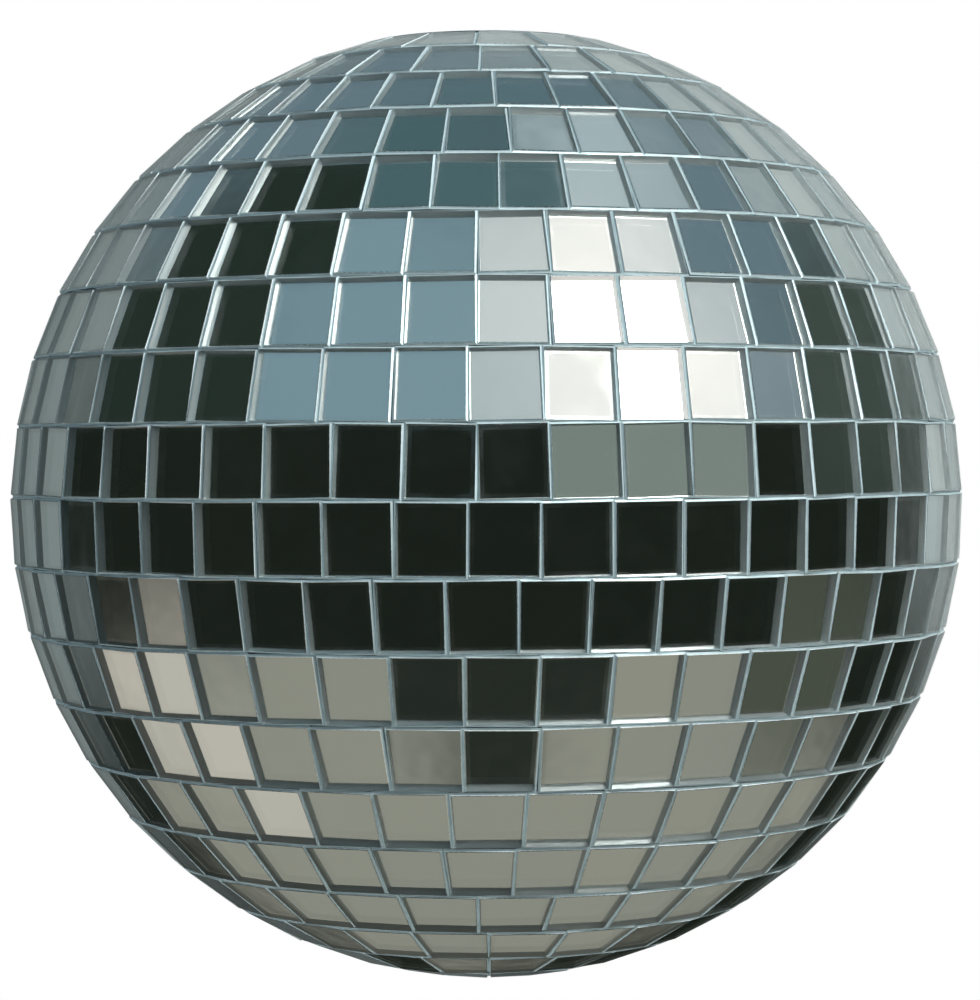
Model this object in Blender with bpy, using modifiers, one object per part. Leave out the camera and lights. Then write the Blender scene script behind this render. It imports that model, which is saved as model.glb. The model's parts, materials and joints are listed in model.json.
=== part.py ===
"""A mirror ball, 150 mm across its mirrors, built as separate pieces in metres.

The ball's centre is the origin, +Z is up and the front faces -Y. Nineteen rows of mirror tiles cover
two plastic half shells. A stepped pan at the top holds a swivel eye with a folding bail, which the ball
hangs from.
"""

import math

import bmesh
import bpy
from mathutils import Matrix, Vector

MM = 0.001
GAP = 0.3 * MM  # clearance between two pieces that touch
QUARTER = math.pi / 2

# Steps round turned pieces, by their size
COARSE_STEPS = 16
MEDIUM_STEPS = 24
FINE_STEPS = 32
PAN_STEPS = 48
SMOOTH_ANGLE = math.radians(35)  # sharper edges than this stay sharp
MERGE_DISTANCE = 0.00001
WELD_DISTANCE = 0.000001

# Mirror rows
BALL_RADIUS = 75.0 * MM  # from the centre to the middle of a tile's face
ROW_PITCH = math.radians(8.3)  # latitude that one row takes up
ROW_LIFT = math.radians(1.15)  # the upper rows start this far above the seam, where the lower rows end
GLASS = 2.3 * MM  # a tile with its bead of glue, above its strip
STRIP = 0.6 * MM  # backing strip under the tiles of one row
TILE_INSET = 0.1 * MM  # how far a tile's face stands back from the edges of its cell
OUTWARD = 0.9  # cosine that tells a strip's front faces from its sides
# For each row from the seam to the pole: how many tiles it has, and where one of the joints between its
# tiles stands, in degrees from the front towards +X. The rows are laid by hand, so neither is regular.
UPPER_ROWS = ((46, -1), (44, -2), (43, -1), (41, -1), (39, 2), (35, 4), (32, 2), (23, -1), (16, -3))
LOWER_ROWS = (
    (46, -2), (46, 3.4), (43, -2.6), (39, -3), (36, 5),
    (34, 4), (27, -2), (22, 0), (19, 0), (10, 0),
)

# Half shells
ROW_BACK = BALL_RADIUS - GLASS - STRIP  # from the centre to the back of a strip
SHELL_RADIUS = ROW_BACK - GAP
SHELL_WALL = 2.5 * MM
SHELL_ARC_POINTS = 7
SEAM_RING_HEIGHT = 12.0 * MM
SEAM_RING_WALL = 2.5 * MM
SEAM_RING_PLAY = 1.1 * MM  # radial, which clears the flats of the faceted shell

# Hanger pan at the top pole
PAN_TOP = 73.0 * MM
PAN_RADIUS = 18.2 * MM
PAN_SHEET = 1.2 * MM
PAN_EASE = 0.3 * MM  # rolled edge of the rim
WELL_RADIUS = 11.5 * MM
WELL_WALL = 1.0 * MM
SHELF_TOP = 69.0 * MM
POCKET_RADIUS = 7.2 * MM
FLOOR_TOP = 64.8 * MM
COLLAR_INNER = WELL_RADIUS + WELL_WALL + GAP
COLLAR_OUTER = 17.4 * MM
COLLAR_TOP = PAN_TOP - PAN_SHEET - GAP
COLLAR_BOTTOM = 63.5 * MM

# Countersunk screws that hold the pan to the collar
SCREW_CIRCLE = 15.0 * MM
SCREW_ANGLES = (90, 210, 330)  # degrees round the pole from +X
SCREW_SHANK = 1.1 * MM
SCREW_HEAD = 2.1 * MM
SCREW_LENGTH = 7.6 * MM
SCREW_SINK = 0.1 * MM  # the head's top lies this far under the pan's rim
RECESS_DEPTH = 0.6 * MM
RECESS_LENGTH = 2.4 * MM
RECESS_WIDTH = 0.5 * MM

# Swivel
SHANK_RADIUS = 2.5 * MM
BORE_RADIUS = SHANK_RADIUS + GAP
BUSH_BARREL = 4.0 * MM
BUSH_FLANGE = 6.2 * MM
BUSH_FLANGE_THICKNESS = 0.8 * MM
BUSH_END = 62.2 * MM
WASHER_RADIUS = 4.8 * MM
WASHER_THICKNESS = 0.5 * MM
EYE_SHOULDER = 4.4 * MM
EYE_SHOULDER_THICKNESS = 0.9 * MM
LUG_THICKNESS = 3.0 * MM
LUG_RADIUS = 2.8 * MM
PIN_HEIGHT = 70.4 * MM  # of the bail's hinge above the ball's centre
SHANK_END = 54.1 * MM
SHANK_CHAMFER = 0.5 * MM
NUT_HEIGHT = 4.4 * MM
NUT_CORNER = 4.62 * MM  # an 8 mm spanner's hexagon
LOWER_WASHER_RADIUS = 5.6 * MM
LOWER_WASHER_THICKNESS = 0.6 * MM

# Bail and its pin
WIRE_RADIUS = 1.1 * MM
EYE_OFFSET = 2.95 * MM  # of an eye's middle from the middle of the lug
EYE_THICKNESS = 2.2 * MM
EYE_RADIUS = 2.2 * MM
PIN_RADIUS = 1.05 * MM
PIN_HEAD_RADIUS = 1.7 * MM
PIN_HEAD_THICKNESS = 0.6 * MM
LEG_START = 1.6 * MM
LOOP_CENTRE = 4.6 * MM
LOOP_RADIUS = 5.0 * MM
LEG_POINTS = 6
LOOP_POINTS = 12
WIRE_BEVEL_STEPS = 3
EYE_STEPS = 20

# Button at the bottom pole
BUTTON_RADIUS = 10.0 * MM
DOME_POINTS = 5
STEM_RADIUS = 3.4 * MM
STEM_TOP = 65.0 * MM  # below the ball's centre
STEM_CHAMFER = 0.9 * MM
BOSS_RADIUS = 7.0 * MM
BOSS_TOP = 66.3 * MM  # below the ball's centre


def clear_scene():
    for thing in list(bpy.data.objects):
        bpy.data.objects.remove(thing)


def make_collection(name):
    collection = bpy.data.collections.new(name)
    bpy.context.scene.collection.children.link(collection)
    return collection


def make_material(name, colour, roughness, metallic):
    material = bpy.data.materials.new(name)
    material.use_nodes = True
    shader = material.node_tree.nodes["Principled BSDF"]
    shader.inputs["Base Color"].default_value = (*colour, 1)
    shader.inputs["Roughness"].default_value = roughness
    shader.inputs["Metallic"].default_value = metallic
    return material


def add_piece(name, mesh, material, parent):
    """An object of the ball, at its parent's origin."""
    piece = bpy.data.objects.new(name, mesh)
    piece.parent = parent
    mesh.materials.append(material)
    bpy.data.collections["mirror_ball"].objects.link(piece)
    return piece


def add_cutter(name, mesh, location):
    """A helper that a Boolean cuts or joins with. It is no part of the ball."""
    cutter = bpy.data.objects.new(name, mesh)
    cutter.location = location
    cutter.hide_render = True
    cutter.display_type = "WIRE"
    bpy.data.collections["cutters"].objects.link(cutter)
    return cutter


def combine(piece, tool, operation):
    boolean = piece.modifiers.new(tool.name, "BOOLEAN")
    boolean.operation = operation
    boolean.object = tool
    boolean.solver = "EXACT"


def settle(piece):
    """Turns the piece's modifiers into its mesh, then shades it smooth between its sharp edges."""
    bpy.context.view_layer.update()
    graph = bpy.context.evaluated_depsgraph_get()
    mesh = bpy.data.meshes.new_from_object(piece.evaluated_get(graph), depsgraph=graph)
    piece.modifiers.clear()
    piece.data = mesh
    mesh.shade_smooth()
    mesh.set_sharp_from_angle(angle=SMOOTH_ANGLE)


def turned_mesh(name, profile):
    """The (radius, height) points of a turned shape, joined up. They run down its outer side.

    A profile that starts and ends on the axis stays open there. Any other is closed, as a ring's is."""
    mesh = bpy.data.meshes.new(name)
    edges = [(i, i + 1) for i in range(len(profile) - 1)]
    if profile[0][0] > 0:
        edges.append((len(profile) - 1, 0))
    mesh.from_pydata([(radius, 0, height) for radius, height in profile], edges, [])
    return mesh


def turn(piece, steps):
    screw = piece.modifiers.new("turn", "SCREW")
    screw.steps = steps
    screw.render_steps = steps
    screw.use_merge_vertices = True
    screw.merge_threshold = MERGE_DISTANCE


def turned_piece(name, profile, steps, material, parent):
    piece = add_piece(name, turned_mesh(name, profile), material, parent)
    turn(piece, steps)
    return piece


def primitive(name, shape, matrix, **sizes):
    """A cube or a cone from bmesh.ops, moved by the matrix."""
    mesh = bpy.data.meshes.new(name)
    cage = bmesh.new()
    shape(cage, matrix=matrix, **sizes)
    cage.to_mesh(mesh)
    cage.free()
    return mesh


def box_mesh(name, size, centre=(0, 0, 0), turn_about_z=0.0):
    turned = Matrix.Translation(centre) @ Matrix.Rotation(turn_about_z, 4, "Z")
    return primitive(name, bmesh.ops.create_cube, turned @ Matrix.Diagonal((*size, 1)), size=1)


def cylinder_mesh(name, radius, length, sides, matrix):
    return primitive(
        name,
        bmesh.ops.create_cone,
        matrix,
        cap_ends=True,
        segments=sides,
        radius1=radius,
        radius2=radius,
        depth=length,
    )


def cross_cylinder(name, radius, length, sides, centre):
    """A cylinder that lies along Y."""
    place = Matrix.Translation(centre) @ Matrix.Rotation(QUARTER, 4, "X")
    return cylinder_mesh(name, radius, length, sides, place)


def arc(radius, start, end, count=SHELL_ARC_POINTS):
    """Points of a circle round the ball's centre, from one latitude to another, both ends included."""
    step = (end - start) / (count - 1)
    angles = [start + i * step for i in range(count)]
    return [(radius * math.cos(angle), radius * math.sin(angle)) for angle in angles]


def ring_of_cells(profile, tiles, joint_deg):
    """A ring turned in as many flat cells as it has tiles."""
    cage = bmesh.new()
    start = Matrix.Rotation(math.radians(joint_deg) - QUARTER, 4, "Z")
    corners = [cage.verts.new(start @ Vector((radius, 0, height))) for radius, height in profile]
    sides = [cage.edges.new((corners[i - 1], corners[i])) for i in range(len(corners))]
    bmesh.ops.spin(
        cage,
        geom=corners + sides,
        cent=(0, 0, 0),
        axis=(0, 0, 1),
        angle=2 * math.pi,
        steps=tiles,
        use_merge=True,
    )
    bmesh.ops.recalc_face_normals(cage, faces=cage.faces)
    return cage


def mirror_row(name, side, index, tiles, joint_deg, material, parent):
    """One row of tiles on its backing strip. side is 1 for the upper rows and -1 for the lower ones."""
    latitude = (index + 0.5) * ROW_PITCH + side * ROW_LIFT
    half = ROW_BACK * math.tan(ROW_PITCH / 2) - GAP / 2
    # A cell's corners stand further out than its middle, so its edge towards the seam is trimmed to
    # clear the row next to it.
    corner = 1 / math.cos(math.pi / tiles)
    edge_radius = ROW_BACK * math.cos(latitude) + half * math.sin(latitude)
    trim = edge_radius * (corner - 1) * math.sin(latitude)

    def point(depth, along):
        radius = depth * math.cos(latitude) - along * math.sin(latitude)
        return radius * corner, side * (depth * math.sin(latitude) + along * math.cos(latitude))

    front = ROW_BACK + STRIP
    low = trim - half
    profile = [point(front, half), point(front, low), point(ROW_BACK, low), point(ROW_BACK, half)]
    cage = ring_of_cells(profile, tiles, joint_deg)
    fronts = []
    for face in cage.faces:
        if face.normal.dot(face.calc_center_median().normalized()) > OUTWARD:
            fronts.append(face)
    bmesh.ops.inset_individual(cage, faces=fronts, thickness=TILE_INSET, depth=GLASS, use_even_offset=True)
    mesh = bpy.data.meshes.new(name)
    cage.to_mesh(mesh)
    cage.free()
    return add_piece(name, mesh, material, parent)


def mirror_rows(material, parent):
    for index, (tiles, joint_deg) in enumerate(UPPER_ROWS):
        mirror_row(f"mirror_row_upper_{index + 1}", 1, index, tiles, joint_deg, material, parent)
    for index, (tiles, joint_deg) in enumerate(LOWER_ROWS):
        mirror_row(f"mirror_row_lower_{index + 1}", -1, index, tiles, joint_deg, material, parent)


def upper_shell(material, parent, screw_holes):
    """The upper half shell, with the screw collar round the pan's opening."""
    inner_radius = SHELL_RADIUS - SHELL_WALL
    rim = GAP / 2
    outer = arc(SHELL_RADIUS, math.acos(COLLAR_OUTER / SHELL_RADIUS), math.asin(rim / SHELL_RADIUS))
    inner = arc(inner_radius, math.asin(rim / inner_radius), math.acos(COLLAR_OUTER / inner_radius))
    profile = [(COLLAR_OUTER, COLLAR_TOP), *outer, *inner]
    profile += [(COLLAR_OUTER, COLLAR_BOTTOM), (COLLAR_INNER, COLLAR_BOTTOM), (COLLAR_INNER, COLLAR_TOP)]
    shell = turned_piece("upper_shell", profile, FINE_STEPS, material, parent)
    for hole in screw_holes:
        combine(shell, hole, "DIFFERENCE")
    settle(shell)


def lower_shell(material, parent):
    """The lower half shell, with a boss round the hole for the button's stem."""
    inner_radius = SHELL_RADIUS - SHELL_WALL
    hole = STEM_RADIUS + GAP
    rim = GAP / 2
    outer = arc(SHELL_RADIUS, -math.asin(rim / SHELL_RADIUS), -math.acos(hole / SHELL_RADIUS))
    inner = arc(inner_radius, -math.acos(BOSS_RADIUS / inner_radius), -math.asin(rim / inner_radius))
    profile = [*outer, (hole, -BOSS_TOP), (BOSS_RADIUS, -BOSS_TOP), *inner]
    settle(turned_piece("lower_shell", profile, FINE_STEPS, material, parent))


def seam_ring(material, parent):
    """The sleeve inside the equator seam that both half shells are glued to."""
    outer = SHELL_RADIUS - SHELL_WALL - SEAM_RING_PLAY
    inner = outer - SEAM_RING_WALL
    half = SEAM_RING_HEIGHT / 2
    profile = [(outer, half), (outer, -half), (inner, -half), (inner, half)]
    settle(turned_piece("seam_ring", profile, FINE_STEPS, material, parent))


def screw_hole_cutters():
    """Countersunk holes, one for each cap screw, that run through the pan and into the collar."""
    bore = SCREW_SHANK + GAP
    cone = SCREW_HEAD + GAP * math.sqrt(2)  # at 45 degrees, the countersink clears the head by the gap
    above = 2 * GAP
    throat = cone - bore
    bottom = -SCREW_LENGTH - GAP
    profile = [(0, above), (cone + above, above), (bore, -throat), (bore, bottom), (0, bottom)]
    cutters = []
    for number, angle in enumerate(SCREW_ANGLES, 1):
        cutter = add_cutter(f"screw_hole_{number}", turned_mesh("screw_hole", profile), screw_place(angle))
        turn(cutter, COARSE_STEPS)
        cutters.append(cutter)
    return cutters


def screw_place(angle_deg):
    """The middle of a cap screw's head, on its top."""
    angle = math.radians(angle_deg)
    return SCREW_CIRCLE * math.cos(angle), SCREW_CIRCLE * math.sin(angle), PAN_TOP - SCREW_SINK


def cap_screws(material, parent):
    neck = SCREW_SHANK - SCREW_HEAD  # the head and the tip are both cones of 45 degrees
    tip = SCREW_SHANK - SCREW_LENGTH
    profile = [(0, 0), (SCREW_HEAD, 0), (SCREW_SHANK, neck), (SCREW_SHANK, tip), (0, -SCREW_LENGTH)]
    recess = (RECESS_LENGTH, RECESS_WIDTH, 2 * RECESS_DEPTH)
    for number, angle in enumerate(SCREW_ANGLES, 1):
        screw = turned_piece(f"cap_screw_{number}", profile, COARSE_STEPS, material, parent)
        screw.location = screw_place(angle)
        for arm, turned_by in enumerate((0, QUARTER)):
            slot = box_mesh("recess", recess, turn_about_z=turned_by)
            combine(screw, add_cutter(f"recess_{number}_{arm}", slot, screw.location), "DIFFERENCE")
        settle(screw)


def hanger_pan(material, parent, screw_holes):
    """The stepped pan: a flat rim, a well for the folded bail with a shelf, and a pocket for the swivel."""
    well_outer = WELL_RADIUS + WELL_WALL
    pocket_outer = POCKET_RADIUS + WELL_WALL
    shelf_bottom = SHELF_TOP - WELL_WALL
    floor_bottom = FLOOR_TOP - PAN_SHEET
    floor_hole = BUSH_BARREL + GAP
    profile = [
        (PAN_RADIUS, PAN_TOP - PAN_EASE),
        (PAN_RADIUS, PAN_TOP - PAN_SHEET),
        (well_outer, PAN_TOP - PAN_SHEET),
        (well_outer, shelf_bottom),
        (pocket_outer, shelf_bottom),
        (pocket_outer, floor_bottom),
        (floor_hole, floor_bottom),
        (floor_hole, FLOOR_TOP),
        (POCKET_RADIUS, FLOOR_TOP),
        (POCKET_RADIUS, SHELF_TOP),
        (WELL_RADIUS, SHELF_TOP),
        (WELL_RADIUS, PAN_TOP - PAN_EASE),
        (WELL_RADIUS + PAN_EASE, PAN_TOP),
        (PAN_RADIUS - PAN_EASE, PAN_TOP),
    ]
    pan = turned_piece("hanger_pan", profile, PAN_STEPS, material, parent)
    for hole in screw_holes:
        combine(pan, hole, "DIFFERENCE")
    settle(pan)


def washer(name, outer, top, thickness, material, parent):
    """A flat ring that the swivel's shank goes through."""
    bottom = top - thickness
    profile = [(outer, top), (outer, bottom), (BORE_RADIUS, bottom), (BORE_RADIUS, top)]
    settle(turned_piece(name, profile, MEDIUM_STEPS, material, parent))


def swivel_bush(material, parent):
    flange_bottom = FLOOR_TOP + GAP
    flange_top = flange_bottom + BUSH_FLANGE_THICKNESS
    profile = [
        (BUSH_FLANGE, flange_top),
        (BUSH_FLANGE, flange_bottom),
        (BUSH_BARREL, flange_bottom),
        (BUSH_BARREL, BUSH_END),
        (BORE_RADIUS, BUSH_END),
        (BORE_RADIUS, flange_top),
    ]
    settle(turned_piece("swivel_bush", profile, MEDIUM_STEPS, material, parent))
    return flange_top


def swivel_eye(shoulder_bottom, material, parent):
    """The eye: a shank that turns in the bush, a shoulder, and a lug with the hole for the bail's pin."""
    shoulder_top = shoulder_bottom + EYE_SHOULDER_THICKNESS
    profile = [
        (0, shoulder_top),
        (EYE_SHOULDER, shoulder_top),
        (EYE_SHOULDER, shoulder_bottom),
        (SHANK_RADIUS, shoulder_bottom),
        (SHANK_RADIUS, SHANK_END + SHANK_CHAMFER),
        (SHANK_RADIUS - SHANK_CHAMFER, SHANK_END),
        (0, SHANK_END),
    ]
    eye = turned_piece("swivel_eye", profile, MEDIUM_STEPS, material, parent)
    foot = shoulder_bottom + EYE_SHOULDER_THICKNESS / 2
    size = (2 * LUG_RADIUS, LUG_THICKNESS, PIN_HEIGHT - foot)
    web = box_mesh("lug_web", size, centre=(0, 0, (PIN_HEIGHT + foot) / 2))
    combine(eye, add_cutter("lug_web", web, (0, 0, 0)), "UNION")
    round_end = cross_cylinder("lug_end", LUG_RADIUS, LUG_THICKNESS, MEDIUM_STEPS, (0, 0, PIN_HEIGHT))
    combine(eye, add_cutter("lug_end", round_end, (0, 0, 0)), "UNION")
    hole = cross_cylinder("lug_hole", PIN_RADIUS + GAP, 2 * LUG_THICKNESS, COARSE_STEPS, (0, 0, PIN_HEIGHT))
    combine(eye, add_cutter("lug_hole", hole, (0, 0, 0)), "DIFFERENCE")
    settle(eye)


def lock_nut(top, material, parent):
    middle = Matrix.Translation((0, 0, top - NUT_HEIGHT / 2))
    hexagon = cylinder_mesh("lock_nut", NUT_CORNER, NUT_HEIGHT, 6, middle)
    nut = add_piece("lock_nut", hexagon, material, parent)
    bore = cylinder_mesh("nut_bore", BORE_RADIUS, 2 * NUT_HEIGHT, MEDIUM_STEPS, middle)
    combine(nut, add_cutter("nut_bore", bore, (0, 0, 0)), "DIFFERENCE")
    settle(nut)


def bail_path():
    """The wire's centre line in the hinge's frame: out along one leg, round the loop and back."""
    leg = []
    for i in range(LEG_POINTS):
        share = i / LEG_POINTS
        ease = share * share * (3 - 2 * share)
        x = LEG_START + share * (LOOP_CENTRE - LEG_START)
        leg.append((x, EYE_OFFSET + ease * (LOOP_RADIUS - EYE_OFFSET)))
    loop = []
    for i in range(LOOP_POINTS + 1):
        angle = QUARTER - math.pi * i / LOOP_POINTS
        loop.append((LOOP_CENTRE + LOOP_RADIUS * math.cos(angle), LOOP_RADIUS * math.sin(angle)))
    back = [(x, -y) for x, y in reversed(leg)]
    return leg + loop + back


def wire_mesh(name, path, radius):
    """A round wire along a flat path, as one closed mesh."""
    curve = bpy.data.curves.new(name, "CURVE")
    curve.dimensions = "3D"
    curve.bevel_depth = radius
    curve.bevel_resolution = WIRE_BEVEL_STEPS
    curve.use_fill_caps = True
    spline = curve.splines.new("POLY")
    spline.points.add(len(path) - 1)
    for point, (x, y) in zip(spline.points, path):
        point.co = (x, y, 0, 1)
    guide = bpy.data.objects.new(name, curve)
    bpy.context.scene.collection.objects.link(guide)
    graph = bpy.context.evaluated_depsgraph_get()
    mesh = bpy.data.meshes.new_from_object(guide.evaluated_get(graph), depsgraph=graph)
    bpy.data.objects.remove(guide)
    cage = bmesh.new()
    cage.from_mesh(mesh)
    bmesh.ops.remove_doubles(cage, verts=cage.verts, dist=WELD_DISTANCE)
    cage.to_mesh(mesh)
    cage.free()
    return mesh


def hanging_bail(material, hinge):
    """The folding bail: a bent wire that ends in an eye on each side of the lug."""
    bail = add_piece("hanging_bail", wire_mesh("hanging_bail", bail_path(), WIRE_RADIUS), material, hinge)
    for name, side in (("left_eye", -1), ("right_eye", 1)):
        eye = cross_cylinder(name, EYE_RADIUS, EYE_THICKNESS, EYE_STEPS, (0, side * EYE_OFFSET, 0))
        combine(bail, add_cutter(name, eye, hinge.location), "UNION")
    across = 2 * (EYE_OFFSET + EYE_THICKNESS)  # longer than the two eyes are wide
    hole = cross_cylinder("bail_hole", PIN_RADIUS + GAP, across, COARSE_STEPS, (0, 0, 0))
    combine(bail, add_cutter("bail_hole", hole, hinge.location), "DIFFERENCE")
    settle(bail)


def bail_pin(material, hinge):
    """The rivet that the bail folds on, with a head outside each of its eyes."""
    head_inside = EYE_OFFSET + EYE_THICKNESS / 2 + GAP
    end = head_inside + PIN_HEAD_THICKNESS
    profile = [
        (0, end),
        (PIN_HEAD_RADIUS, end),
        (PIN_HEAD_RADIUS, head_inside),
        (PIN_RADIUS, head_inside),
        (PIN_RADIUS, -head_inside),
        (PIN_HEAD_RADIUS, -head_inside),
        (PIN_HEAD_RADIUS, -end),
        (0, -end),
    ]
    pin = turned_piece("bail_pin", profile, COARSE_STEPS, material, hinge)
    pin.rotation_euler = (QUARTER, 0, 0)
    settle(pin)


def bottom_button(material, parent):
    """The domed button whose stem pushes into the lower shell's hole."""
    underside = SHELL_RADIUS + GAP
    dome = arc(BALL_RADIUS, -math.acos(BUTTON_RADIUS / BALL_RADIUS), -QUARTER, DOME_POINTS)
    profile = [
        (0, -STEM_TOP),
        (STEM_RADIUS - STEM_CHAMFER, -STEM_TOP),
        (STEM_RADIUS, -STEM_TOP - STEM_CHAMFER),
        (STEM_RADIUS, -underside),
        (BUTTON_RADIUS, -underside),
        *dome[:-1],
        (0, -BALL_RADIUS),
    ]
    settle(turned_piece("bottom_button", profile, FINE_STEPS, material, parent))


def make_empty(name, parent, location):
    empty = bpy.data.objects.new(name, None)
    empty.parent = parent
    empty.location = location
    empty.empty_display_size = 10 * MM
    bpy.data.collections["mirror_ball"].objects.link(empty)
    return empty


def build_ball():
    clear_scene()
    make_collection("mirror_ball")
    make_collection("cutters")
    mirror = make_material("mirror_glass", (0.62, 0.68, 0.70), 0.06, 1.0)
    plastic = make_material("shell_plastic", (0.30, 0.35, 0.38), 0.45, 0.0)
    chrome = make_material("chrome_plate", (0.75, 0.76, 0.77), 0.12, 1.0)
    steel = make_material("zinc_steel", (0.56, 0.57, 0.57), 0.32, 1.0)
    bronze = make_material("bearing_bronze", (0.62, 0.43, 0.22), 0.35, 1.0)

    ball = make_empty("ball_centre", None, (0, 0, 0))
    mirror_rows(mirror, ball)
    holes = screw_hole_cutters()
    upper_shell(plastic, ball, holes)
    lower_shell(plastic, ball)
    seam_ring(plastic, ball)
    hanger_pan(chrome, ball, holes)
    cap_screws(steel, ball)
    bottom_button(chrome, ball)
    bush_top = swivel_bush(bronze, ball)

    swivel = make_empty("swivel_axis", ball, (0, 0, 0))
    washer_top = bush_top + GAP + WASHER_THICKNESS
    washer("thrust_washer", WASHER_RADIUS, washer_top, WASHER_THICKNESS, steel, swivel)
    swivel_eye(washer_top + GAP, steel, swivel)
    lower_top = BUSH_END - GAP
    washer("lower_washer", LOWER_WASHER_RADIUS, lower_top, LOWER_WASHER_THICKNESS, steel, swivel)
    lock_nut(lower_top - LOWER_WASHER_THICKNESS - GAP, steel, swivel)

    hinge = make_empty("bail_hinge", swivel, (0, 0, PIN_HEIGHT))
    hanging_bail(chrome, hinge)
    bail_pin(steel, hinge)


build_ball()
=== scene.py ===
"""The looks of a 150 mm mirror ball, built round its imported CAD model.

Metres, +Z up, the front faces -Y.
"""

import json
import math
import random

import bmesh
import bpy
import numpy as np
from mathutils import Matrix, Vector


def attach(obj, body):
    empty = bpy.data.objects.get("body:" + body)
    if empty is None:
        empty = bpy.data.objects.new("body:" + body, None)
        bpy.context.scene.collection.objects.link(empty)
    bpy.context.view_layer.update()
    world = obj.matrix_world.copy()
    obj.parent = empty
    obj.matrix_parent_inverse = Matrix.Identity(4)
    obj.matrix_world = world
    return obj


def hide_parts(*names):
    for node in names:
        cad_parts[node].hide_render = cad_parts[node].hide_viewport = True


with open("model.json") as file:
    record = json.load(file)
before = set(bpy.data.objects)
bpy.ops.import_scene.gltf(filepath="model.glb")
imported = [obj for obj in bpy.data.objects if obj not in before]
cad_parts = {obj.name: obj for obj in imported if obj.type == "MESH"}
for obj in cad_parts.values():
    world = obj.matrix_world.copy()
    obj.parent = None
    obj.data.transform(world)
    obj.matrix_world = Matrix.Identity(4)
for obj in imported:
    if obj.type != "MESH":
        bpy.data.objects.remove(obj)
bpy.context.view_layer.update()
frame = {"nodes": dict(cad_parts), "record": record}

MM = 0.001
QUARTER = math.pi / 2

# Mirror rows, as the CAD model has them: how many tiles a row holds, from the seam to the pole, and where
# one of the joints between its tiles stands, in degrees from the front towards +X.
BALL_RADIUS = 75.0 * MM
ROW_PITCH = math.radians(8.3)
ROW_LIFT = math.radians(1.15)
GLASS = 2.3 * MM
STRIP = 0.6 * MM
GAP = 0.3 * MM
UPPER_ROWS = ((46, -1), (44, -2), (43, -1), (41, -1), (39, 2), (35, 4), (32, 2), (23, -1), (16, -3))
LOWER_ROWS = (
    (46, -2), (46, 3.4), (43, -2.6), (39, -3), (36, 5),
    (34, 4), (27, -2), (22, 0), (19, 0), (10, 0),
)
ROW_BACK = BALL_RADIUS - GLASS - STRIP
BED_DEPTH = 1.7 * MM  # how far the front of the strip lies under the tiles' faces
BED = BALL_RADIUS - BED_DEPTH

# A tile is a block of glass, silvered on its back, that stands on the strip and widens a little towards its
# front. Adhesive stands in the joints between the tiles, lower in the middle of a joint than at its sides.
SILVER, RIM, FRONT, EDGE, SIDE, GLUE, BACKING = range(7)
FRONT_INSET = 0.24 * MM  # from the edge of a tile's cell to its front
ARRIS = 0.06 * MM
TAPER = 0.15 * MM
RIM_WIDTH = 0.6 * MM  # the silvering is hazier this far in from its edge
GLUE_SEAM = 0.14 * MM
GLASS_HEIGHT = BED_DEPTH - GLUE_SEAM
GLUE_DEPTH = 0.38 * MM  # from a tile's front to the lowest adhesive in a joint
GLUE_SPREAD = 0.28 * MM
GLUE_LIP = 0.18 * MM
TILE_TILT = math.radians(0.7)  # how far a hand-laid tile leans or turns, at most
TILE_TURN = math.radians(1.3)
TILE_SHIFT = 0.10 * MM
TILE_SHRINK = 0.015
TILE_SEED = 11
SAME_POINT = 0.001 * MM

# Camera and stage
CAMERA_DISTANCE = 0.525
CAMERA_ELEVATION = math.radians(1.0)
CAMERA_ROLL = math.radians(-0.3)
CAMERA_LENS = 118.2
CAMERA_SHIFT = (0.0035, 0.002)
FLOOR_HEIGHT = -0.30
FLOOR_RADIUS = 1.6
FLOOR_SIDES = 96


def srgb(red, green, blue):
    """A linear colour from 8-bit display values."""
    values = [value / 255 for value in (red, green, blue)]
    return tuple(v / 12.92 if v <= 0.04045 else ((v + 0.055) / 1.055) ** 2.4 for v in values)


# ---------------------------------------------------------------- camera, lights and stage


def look_at(thing, target):
    thing.rotation_euler = (Vector(target) - thing.location).to_track_quat("-Z", "Y").to_euler()


def make_camera():
    data = bpy.data.cameras.new("camera")
    data.lens = CAMERA_LENS
    data.shift_x, data.shift_y = CAMERA_SHIFT
    data.clip_start = 0.01
    camera = bpy.data.objects.new("camera", data)
    bpy.context.scene.collection.objects.link(camera)
    height = CAMERA_DISTANCE * math.sin(CAMERA_ELEVATION)
    camera.location = (0, -CAMERA_DISTANCE * math.cos(CAMERA_ELEVATION), height)
    look_at(camera, (0, 0, 0))
    camera.rotation_euler.rotate_axis("Z", CAMERA_ROLL)
    bpy.context.scene.camera = camera


def direction(azimuth, elevation):
    """A unit vector: azimuth in degrees from the front towards +X, elevation in degrees above level."""
    turn, rise = math.radians(azimuth), math.radians(elevation)
    return Vector((math.sin(turn) * math.cos(rise), -math.cos(turn) * math.cos(rise), math.sin(rise)))


def area_light(name, azimuth, elevation, distance, size, power, colour):
    data = bpy.data.lights.new(name, "AREA")
    data.size = size
    data.energy = power
    data.color = colour
    lamp = bpy.data.objects.new(name, data)
    bpy.context.scene.collection.objects.link(lamp)
    lamp.location = direction(azimuth, elevation) * distance
    look_at(lamp, (0, 0, 0))
    lamp.visible_glossy = False
    lamp.visible_camera = False
    lamp.visible_transmission = False


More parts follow.
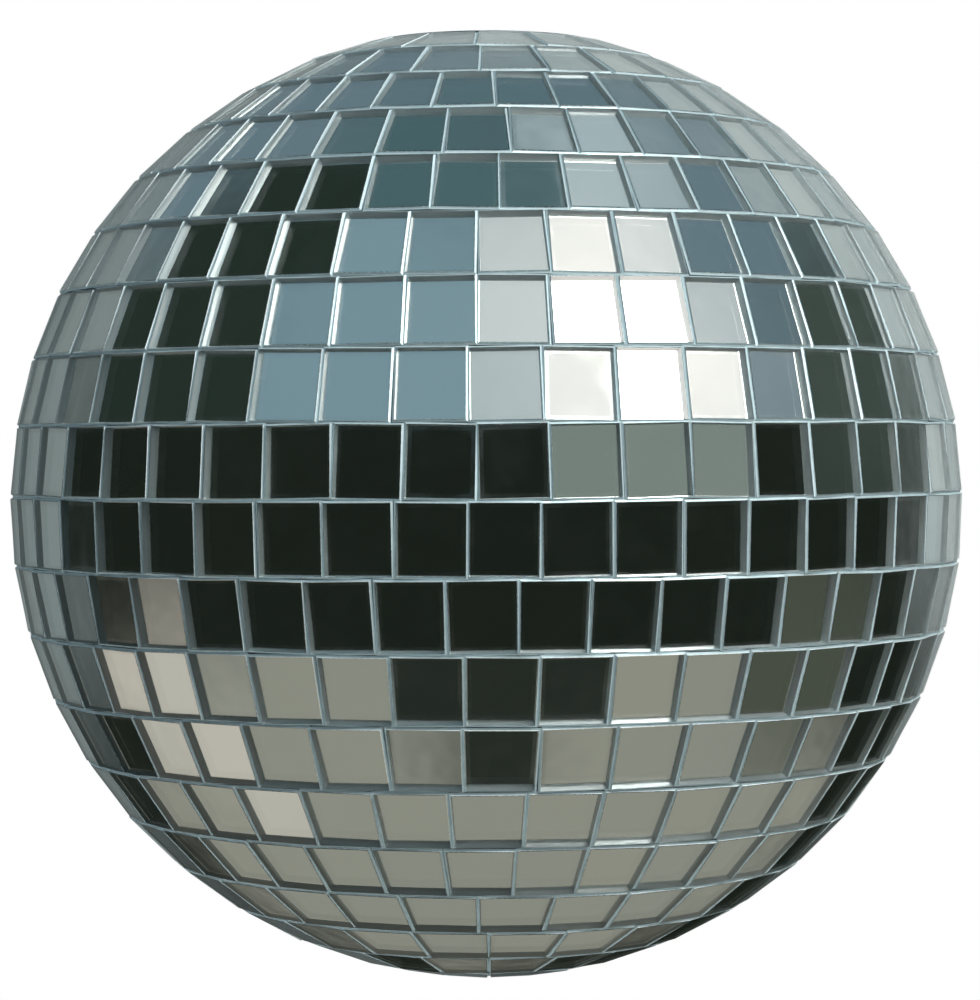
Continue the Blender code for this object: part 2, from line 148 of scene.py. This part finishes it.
class Graph:
    """A material's or world's node tree, with one short call for each kind of node that is used here."""

    def __init__(self, tree):
        self.tree = tree
        self.tree.nodes.clear()

    def node(self, kind, **settings):
        made = self.tree.nodes.new("ShaderNode" + kind)
        for name, value in settings.items():
            setattr(made, name, value)
        return made

    def put(self, socket, value):
        if isinstance(value, bpy.types.NodeSocket):
            self.tree.links.new(value, socket)
        else:
            socket.default_value = value

    def maths(self, operation, *values):
        made = self.node("Math", operation=operation)
        for socket, value in zip(made.inputs, values):
            self.put(socket, value)
        return made.outputs[0]

    def ramp(self, value, start, end, low=0.0, high=1.0, smooth=True):
        made = self.node("MapRange", interpolation_type="SMOOTHSTEP" if smooth else "LINEAR")
        self.put(made.inputs["Value"], value)
        for socket, number in zip(("From Min", "From Max", "To Min", "To Max"), (start, end, low, high)):
            made.inputs[socket].default_value = number
        return made.outputs[0]

    def mix(self, factor, first, second):
        made = self.node("Mix", data_type="RGBA")
        self.put(made.inputs[0], factor)
        for socket, value in ((made.inputs[6], first), (made.inputs[7], second)):
            self.put(socket, value if isinstance(value, bpy.types.NodeSocket) else (*value, 1))
        return made.outputs[2]

    def place(self, scale=(1, 1, 1)):
        """Object coordinates in millimetres."""
        made = self.node("Mapping")
        self.put(made.inputs["Vector"], self.node("TexCoord").outputs["Object"])
        made.inputs["Scale"].default_value = [1000 * factor for factor in scale]
        return made.outputs[0]

    def noise(self, place, scale, detail=3.0, roughness=0.5, distortion=0.0):
        made = self.node("TexNoise")
        self.put(made.inputs["Vector"], place)
        made.inputs["Scale"].default_value = scale
        made.inputs["Detail"].default_value = detail
        made.inputs["Roughness"].default_value = roughness
        made.inputs["Distortion"].default_value = distortion
        return made.outputs["Fac"]

    def bump(self, height, strength, distance, normal=None):
        made = self.node("Bump")
        made.inputs["Strength"].default_value = strength
        made.inputs["Distance"].default_value = distance
        self.put(made.inputs["Height"], height)
        if normal:
            self.put(made.inputs["Normal"], normal)
        return made.outputs[0]

    def surface(self, **values):
        """A Principled shader on the output. A value is a number, a colour or a socket."""
        shader = self.node("BsdfPrincipled")
        for name, value in values.items():
            socket = shader.inputs[name.replace("_", " ").title().replace("Ior", "IOR")]
            if isinstance(value, tuple) and len(value) == 3:
                value = (*value, 1)
            self.put(socket, value)
        output = self.node("OutputMaterial")
        self.put(output.inputs["Surface"], shader.outputs[0])


# The studio that the mirrors reflect: a few large surfaces, each laid over the ones before it. A row holds
# its middle azimuth and elevation, half width, half height and width of its soft edge, all in degrees, and
# its colour.
STUDIO = (
    (0, -80, 180, 48, 6, srgb(135, 135, 125)),  # floor
    (0, 60, 180, 44, 8, srgb(95, 115, 125)),  # walls
    (0, 90, 180, 28, 14, srgb(70, 95, 100)),  # ceiling
    (-15, 44, 42, 22, 10, srgb(115, 140, 150)),  # wall behind the camera
    (-92, 40, 30, 30, 10, srgb(35, 45, 40)),  # black flag on the left
    (-150, 6, 30, 24, 14, srgb(120, 130, 130)),  # backdrop, left of the ball
    (155, 18, 30, 26, 14, srgb(170, 180, 180)),  # backdrop, right of the ball
    (110, 20, 20, 16, 10, srgb(60, 70, 65)),  # black flag on the right
    (95, 68, 48, 10, 10, srgb(160, 175, 180)),  # ceiling lit by the key light
    (-100, -40, 18, 20, 12, srgb(180, 175, 165)),  # light from the left on the floor
    (95, -28, 20, 14, 10, srgb(70, 75, 65)),  # shade of the right flag on the floor
    (4, -50, 28, 17, 8, srgb(35, 40, 35)),  # camera's stand
    (38, 9, 26, 9, 10, srgb(115, 125, 120)),  # wall below the key light
    (39, 46, 36, 23, 20, srgb(200, 205, 205)),  # spill round the key light
    (44, 41, 21, 20, 12, srgb(250, 245, 240)),  # key light's cloth
    (42, 38, 13, 15, 4, (12.0, 11.6, 10.9)),  # its middle, much brighter than white
)
DARK_ROOM = srgb(25, 30, 25)
STUDIO_GAIN = 1.16  # makes up for the light that the glass and the silvering take


def make_world():
    """A white backdrop for the camera, and for everything else the studio round the ball."""
    world = bpy.data.worlds.new("studio")
    bpy.context.scene.world = world
    world.use_nodes = True
    graph = Graph(world.node_tree)
    axes = graph.node("SeparateXYZ")
    graph.put(axes.inputs[0], graph.node("TexCoord").outputs["Generated"])
    forward = graph.maths("MULTIPLY", axes.outputs["Y"], -1.0)
    azimuth = graph.maths("DEGREES", graph.maths("ARCTAN2", axes.outputs["X"], forward))
    elevation = graph.maths("DEGREES", graph.maths("ARCSINE", axes.outputs["Z"]))
    colour = graph.node("RGB")
    colour.outputs[0].default_value = (*DARK_ROOM, 1)
    colour = colour.outputs[0]
    for middle, height, half_width, half_height, edge, tone in STUDIO:
        across = graph.maths("WRAP", graph.maths("SUBTRACT", azimuth, middle), 180.0, -180.0)
        across = graph.maths("ABSOLUTE", across)
        up = graph.maths("ABSOLUTE", graph.maths("SUBTRACT", elevation, height))
        inside = graph.maths(
            "MULTIPLY",
            graph.ramp(across, half_width - edge / 2, half_width + edge / 2, 1, 0),
            graph.ramp(up, half_height - edge / 2, half_height + edge / 2, 1, 0),
        )
        colour = graph.mix(inside, colour, tone)
    studio = graph.node("Background")
    graph.put(studio.inputs["Color"], colour)
    studio.inputs["Strength"].default_value = STUDIO_GAIN
    backdrop = graph.node("Background")
    backdrop.inputs["Color"].default_value = (1, 1, 1, 1)
    choice = graph.node("MixShader")
    graph.put(choice.inputs[0], graph.node("LightPath").outputs["Is Camera Ray"])
    graph.put(choice.inputs[1], studio.outputs[0])
    graph.put(choice.inputs[2], backdrop.outputs[0])
    output = graph.node("OutputWorld")
    graph.put(output.inputs["Surface"], choice.outputs[0])


def make_floor():
    """A pale round floor that fades into the backdrop before its edge."""
    cage = bmesh.new()
    bmesh.ops.create_circle(cage, cap_ends=True, segments=FLOOR_SIDES, radius=FLOOR_RADIUS)
    mesh = bpy.data.meshes.new("floor")
    cage.to_mesh(mesh)
    cage.free()
    floor = bpy.data.objects.new("floor", mesh)
    floor.location.z = FLOOR_HEIGHT
    bpy.context.scene.collection.objects.link(floor)
    material = bpy.data.materials.new("floor")
    material.use_nodes = True
    graph = Graph(material.node_tree)
    reach = graph.node("VectorMath", operation="LENGTH")
    graph.put(reach.inputs[0], graph.node("TexCoord").outputs["Object"])
    fade = graph.ramp(reach.outputs["Value"], 0.45 * FLOOR_RADIUS, 0.75 * FLOOR_RADIUS)
    paper = graph.node("BsdfDiffuse")
    paper.inputs["Color"].default_value = (*srgb(238, 238, 236), 1)
    choice = graph.node("MixShader")
    graph.put(choice.inputs[0], fade)
    graph.put(choice.inputs[1], paper.outputs[0])
    graph.put(choice.inputs[2], graph.node("BsdfTransparent").outputs[0])
    output = graph.node("OutputMaterial")
    graph.put(output.inputs["Surface"], choice.outputs[0])
    mesh.materials.append(material)
    floor.visible_glossy = False
    floor.visible_transmission = False


def make_studio():
    make_camera()
    make_world()
    make_floor()
    area_light("key", 42, 40, 1.1, 0.62, 20, srgb(255, 250, 244))
    area_light("fill_left", -75, 25, 1.2, 0.9, 5, srgb(226, 238, 246))
    area_light("fill_back", 170, 35, 1.2, 0.9, 7, srgb(240, 244, 248))
    bpy.context.scene.view_settings.view_transform = "Standard"


# ---------------------------------------------------------------- materials


def new_material(name):
    material = bpy.data.materials.new(name)
    material.use_nodes = True
    return material, Graph(material.node_tree)


def silver_back(name, clear, hazy):
    """The silvering, seen through the glass: faint waves, a breath of haze and small specks."""
    material, graph = new_material(name)
    place = graph.place()
    tone = graph.node("Attribute", attribute_name="tile_tone").outputs["Fac"]
    haze = graph.noise(place, 0.16, 4.0, 0.6)
    specks = graph.ramp(graph.noise(place, 2.6, 6.0, 0.7), 0.60, 0.74)
    tint = graph.mix(tone, srgb(240, 244, 244), srgb(250, 251, 249))
    tint = graph.mix(graph.maths("MULTIPLY", specks, 0.12), tint, srgb(200, 204, 202))
    rough = graph.ramp(haze, 0.35, 0.68, clear, hazy)
    rough = graph.maths("ADD", rough, graph.maths("MULTIPLY", specks, 0.03))
    wave = graph.bump(graph.noise(place, 0.22, 1.0), 0.25, 0.00004)
    graph.surface(base_color=tint, metallic=1.0, roughness=rough, normal=wave)
    return material


def clear_front():
    """The polished front of a tile, with the faint waves of float glass."""
    material, graph = new_material("clear_front")
    wave = graph.bump(graph.noise(graph.place(), 0.3, 1.0), 0.2, 0.00002)
    graph.surface(
        base_color=srgb(252, 254, 253),
        roughness=0.0,
        ior=1.5,
        transmission_weight=1.0,
        normal=wave,
    )
    return material


def ground_edge():
    """The narrow ground arris round a tile's front."""
    material, graph = new_material("ground_edge")
    scratch = graph.noise(graph.place(), 5.0, 5.0, 0.7)
    graph.surface(
        base_color=graph.mix(scratch, srgb(228, 238, 238), srgb(244, 250, 250)),
        roughness=graph.ramp(scratch, 0.3, 0.7, 0.18, 0.34),
        ior=1.5,
        transmission_weight=1.0,
    )
    return material


def cut_side():
    """The cut side of a tile, silvery through the glass because the adhesive's bright film reaches up it."""
    material, graph = new_material("cut_side")
    ribs = graph.noise(graph.place((1, 1, 4)), 1.0, 3.0)
    graph.surface(
        base_color=graph.mix(ribs, srgb(206, 222, 228), srgb(230, 239, 242)),
        metallic=0.4,
        roughness=graph.ramp(ribs, 0.3, 0.7, 0.30, 0.42),
        normal=graph.bump(ribs, 0.2, 0.00001),
    )
    return material


def silver_glue():
    """The silver-grey adhesive in the joints."""
    material, graph = new_material("silver_glue")
    place = graph.place()
    lumps = graph.noise(place, 0.5, 2.0)
    graph.surface(
        base_color=graph.mix(lumps, srgb(150, 174, 182), srgb(186, 204, 210)),
        metallic=0.6,
        roughness=graph.ramp(graph.noise(place, 1.6), 0.3, 0.7, 0.38, 0.50),
        normal=graph.bump(lumps, 0.3, 0.00005),
    )
    return material


def backing_strip():
    """The strip that a row's tiles are glued to, with the weave of its thread showing between them."""
    material, graph = new_material("backing_strip")
    place = graph.place()
    weave = graph.noise(graph.place((2, 2, 1)), 1.2, 2.0)
    lumps = graph.noise(place, 0.7, 3.0)
    tint = graph.mix(weave, srgb(150, 166, 170), srgb(196, 206, 208))
    graph.surface(
        base_color=tint,
        metallic=0.5,
        roughness=graph.ramp(lumps, 0.3, 0.7, 0.28, 0.45),
        normal=graph.bump(weave, 0.5, 0.00006),
    )
    return material


def moulded_plastic():
    """The core's grey-blue plastic with its fine moulded grain."""
    material, graph = new_material("moulded_plastic")
    place = graph.place()
    grain = graph.noise(place, 3.0, 4.0, 0.6)
    cloud = graph.noise(place, 0.06, 3.0)
    tint = graph.mix(cloud, srgb(120, 132, 139), srgb(146, 157, 163))
    graph.surface(
        base_color=tint,
        roughness=graph.ramp(grain, 0.3, 0.7, 0.38, 0.52),
        normal=graph.bump(grain, 0.3, 0.00004),
    )
    return material


def plated_metal(name, dark, light, smooth, rough, ring_scale):
    """Plated metal with turning marks round its axis, fine scratches and a little tarnish."""
    material, graph = new_material(name)
    place = graph.place()
    scratch = graph.noise(graph.place((1, 6, 1)), 1.8, 6.0, 0.7, 0.6)
    cloud = graph.noise(place, 0.35, 4.0, 0.6)
    flat = graph.node("VectorMath", operation="MULTIPLY")
    graph.put(flat.inputs[0], place)
    flat.inputs[1].default_value = (1, 1, 0)
    reach = graph.node("VectorMath", operation="LENGTH")
    graph.put(reach.inputs[0], flat.outputs[0])
    wander = graph.maths("ADD", reach.outputs["Value"], graph.maths("MULTIPLY", cloud, 0.3))
    rings = graph.maths("SINE", graph.maths("MULTIPLY", wander, ring_scale))
    height = graph.maths("ADD", graph.maths("MULTIPLY", rings, 0.25), scratch)
    wear = graph.maths("MULTIPLY", graph.maths("ADD", scratch, cloud), 0.5)
    graph.surface(
        base_color=graph.mix(cloud, dark, light),
        metallic=1.0,
        roughness=graph.ramp(wear, 0.35, 0.62, smooth, rough),
        normal=graph.bump(height, 0.25, 0.00001),
    )
    return material


# ---------------------------------------------------------------- mirror rows


def tile_mesh(half_low, half_high, low, high):
    """One tile in its own frame: X along the row, Y towards the pole, Z out. The sizes are its front's."""
    cage = bmesh.new()

    def outline(spread, height):
        """A face at this height, larger than the tile's front by this much on every side."""
        points = (
            (-half_low - spread, low - spread),
            (half_low + spread, low - spread),
            (half_high + spread, high + spread),
            (-half_high - spread, high + spread),
        )
        face = cage.faces.new([cage.verts.new((x, y, height)) for x, y in points])
        face.normal_update()
        return face

    def step(face, inset, rise, material):
        """Moves a face inwards and outwards from the ball, with a ring of new faces after it."""
        made = bmesh.ops.inset_individual(
            cage, faces=[face], thickness=inset, depth=rise, use_even_offset=True
        )
        for side in made["faces"]:
            side.material_index = material

    joint = outline(GLUE_SPREAD, GLASS_HEIGHT - GLUE_DEPTH)
    step(joint, GLUE_SPREAD + TAPER * GLUE_DEPTH / GLASS_HEIGHT, GLUE_LIP, GLUE)
    bmesh.ops.delete(cage, geom=[joint], context="FACES_ONLY")
    back = outline(-TAPER, 0)
    step(back, RIM_WIDTH, 0, RIM)
    back.material_index = SILVER
    front = outline(-TAPER, 0)
    step(front, -TAPER, GLASS_HEIGHT - ARRIS, SIDE)
    step(front, ARRIS, ARRIS, EDGE)
    front.material_index = FRONT
    bmesh.ops.remove_doubles(cage, verts=cage.verts, dist=SAME_POINT)
    mesh = bpy.data.meshes.new("tile")
    cage.to_mesh(mesh)
    cage.free()
    return mesh


def tile_place(azimuth, latitude, side):
    """Moves a tile's frame to its cell.

    The azimuth is in radians from +X, the latitude from the equator, and side is 1 above it and -1 below.
    """
    level, rise = math.cos(latitude), math.sin(latitude)
    out = Vector((level * math.cos(azimuth), level * math.sin(azimuth), side * rise))
    poleward = Vector((-rise * math.cos(azimuth), -rise * math.sin(azimuth), side * level))
    along = poleward.cross(out)
    turn = Matrix((along, poleward, out)).transposed().to_4x4()
    return Matrix.Translation(out * (BED + GLUE_SEAM)) @ turn


def tile_slip(draw):
    """How a hand-laid tile sits in its cell: a little turned, leaning, shifted and cut short."""
    nod = Matrix.Rotation(draw.uniform(-TILE_TILT, TILE_TILT), 4, "X")
    lean = Matrix.Rotation(draw.uniform(-TILE_TILT, TILE_TILT), 4, "Y")
    turn = Matrix.Rotation(draw.uniform(-TILE_TURN, TILE_TURN), 4, "Z")
    across = draw.uniform(-TILE_SHIFT, TILE_SHIFT)
    shift = Matrix.Translation((across, draw.uniform(-TILE_SHIFT, TILE_SHIFT) / 2, 0))
    cut = Matrix.Diagonal((1 - draw.uniform(0, TILE_SHRINK), 1 - draw.uniform(0, TILE_SHRINK), 1, 1))
    return shift @ nod @ lean @ turn @ cut


def backing_ring(cage, profile, tiles, joint_deg):
    """Turns the strip's outline round the ball in as many flat cells as the row has tiles."""
    start = Matrix.Rotation(math.radians(joint_deg) - QUARTER, 4, "Z")
    corners = [cage.verts.new(start @ Vector((radius, 0, height))) for radius, height in profile]
    sides = [cage.edges.new((corners[i - 1], corners[i])) for i in range(len(corners))]
    bmesh.ops.spin(
        cage,
        geom=corners + sides,
        cent=(0, 0, 0),
        axis=(0, 0, 1),
        angle=2 * math.pi,
        steps=tiles,
        use_merge=True,
    )
    bmesh.ops.recalc_face_normals(cage, faces=cage.faces)
    for face in cage.faces:
        face.material_index = BACKING


def tile_row(name, node, side, index, tiles, joint_deg, draw, materials):
    latitude = (index + 0.5) * ROW_PITCH + side * ROW_LIFT
    half = ROW_BACK * math.tan(ROW_PITCH / 2) - GAP / 2
    corner = 1 / math.cos(math.pi / tiles)
    edge_radius = ROW_BACK * math.cos(latitude) + half * math.sin(latitude)
    low = edge_radius * (corner - 1) * math.sin(latitude) - half

    def ring_point(depth, along):
        radius = depth * math.cos(latitude) - along * math.sin(latitude)
        return radius * corner, side * (depth * math.sin(latitude) + along * math.cos(latitude))

    def half_width(along):
        radius = BALL_RADIUS * math.cos(latitude) - along * math.sin(latitude)
        return radius * math.tan(math.pi / tiles) - FRONT_INSET

    row = bmesh.new()
    reach = BED * math.tan(ROW_PITCH / 2)
    bed_low = low + half - reach
    outline = ((BED, reach), (BED, bed_low), (ROW_BACK, low), (ROW_BACK, half))
    profile = [ring_point(depth, along) for depth, along in outline]
    backing_ring(row, profile, tiles, joint_deg)
    ring_faces = len(row.faces)
    tile_high = BALL_RADIUS * math.tan(ROW_PITCH / 2) - FRONT_INSET
    tile_low = low + half - tile_high
    tile = tile_mesh(half_width(tile_low), half_width(tile_high), tile_low, tile_high)
    for number in range(tiles):
        azimuth = math.radians(joint_deg) - QUARTER + (number + 0.5) * 2 * math.pi / tiles
        before = len(row.verts)
        row.from_mesh(tile)
        row.verts.ensure_lookup_table()
        matrix = tile_place(azimuth, latitude, side) @ tile_slip(draw)
        bmesh.ops.transform(row, matrix=matrix, verts=row.verts[before:])
    mesh = bpy.data.meshes.new(name)
    row.to_mesh(mesh)
    row.free()
    tones = np.repeat([draw.random() for _ in range(tiles)], len(tile.polygons))
    attribute = mesh.attributes.new("tile_tone", "FLOAT", "FACE")
    attribute.data.foreach_set("value", np.concatenate([np.zeros(ring_faces), tones]).astype(np.float32))
    bpy.data.meshes.remove(tile)
    for material in materials:
        mesh.materials.append(material)
    piece = bpy.data.objects.new(name, mesh)
    bpy.context.scene.collection.objects.link(piece)
    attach(piece, "ball")
    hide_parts(node)


def mirror_rows():
    materials = [
        silver_back("silver_back", 0.035, 0.08),
        silver_back("silver_rim", 0.08, 0.14),
        clear_front(),
        ground_edge(),
        cut_side(),
        silver_glue(),
        backing_strip(),
    ]
    draw = random.Random(TILE_SEED)
    for half, side, rows in (("upper", 1, UPPER_ROWS), ("lower", -1, LOWER_ROWS)):
        for index, (tiles, joint_deg) in enumerate(rows):
            node = f"mirror_row_{half}_{index + 1}"
            tile_row(f"tiles_{half}_{index + 1}", node, side, index, tiles, joint_deg, draw, materials)


# ---------------------------------------------------------------- finishes of the CAD pieces


def finish_cad_pieces():
    plastic = moulded_plastic()
    chrome = plated_metal("chrome", srgb(200, 203, 205), srgb(226, 228, 229), 0.07, 0.18, 22.0)
    zinc = plated_metal("zinc", srgb(160, 163, 164), srgb(196, 198, 198), 0.22, 0.40, 30.0)
    bronze = plated_metal("bronze", srgb(150, 112, 62), srgb(196, 156, 98), 0.24, 0.42, 26.0)
    finishes = {
        "shell_plastic": plastic,
        "chrome_plate": chrome,
        "zinc_steel": zinc,
        "bearing_bronze": bronze,
    }
    for part in frame["record"]["subparts"]:
        if part["material_slot"] in finishes:
            for slot in frame["nodes"][part["node"]].material_slots:
                slot.material = finishes[part["material_slot"]]


make_studio()
mirror_rows()
finish_cad_pieces()
